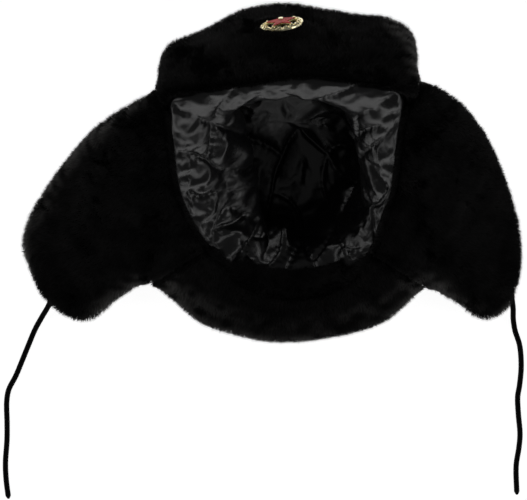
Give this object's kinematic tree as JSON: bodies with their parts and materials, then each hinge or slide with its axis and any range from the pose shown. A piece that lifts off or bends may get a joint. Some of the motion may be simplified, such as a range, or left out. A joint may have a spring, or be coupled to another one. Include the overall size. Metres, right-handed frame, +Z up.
{
  "type": "ushanka",
  "caption": "Black fur winter hat lying open side up, with a quilted satin lining, spread ear flaps, a neck flap, a folded visor, a small badge and tie cords.",
  "frame": {"origin": "middle of the footprint without the tie cords, on the surface that the hat lies on", "axes": "+X to the wearer's left, across the spread ear flaps; +Y to the visor; +Z up, out of the head opening"},
  "size_m": [0.4474, 0.4166, 0.1919],
  "materials": {
    "fur": "short dense black imitation fur with a soft sheen",
    "lining": "black satin quilted in diamonds over thin wadding",
    "cord": "black braided round cord",
    "gilt": "bright gilt stamped metal",
    "enamel": "glossy translucent red enamel"
  },
  "bodies": {
    "root": {"crown": "fur", "lining": "lining", "visor": "fur", "ear_flap_right": "fur", "neck_flap": "fur", "ear_flap_left": "fur", "tie_cord_right": "cord", "tie_cord_left": "cord", "badge": "gilt", "badge_star": "enamel"}
  },
  "joints": []
}
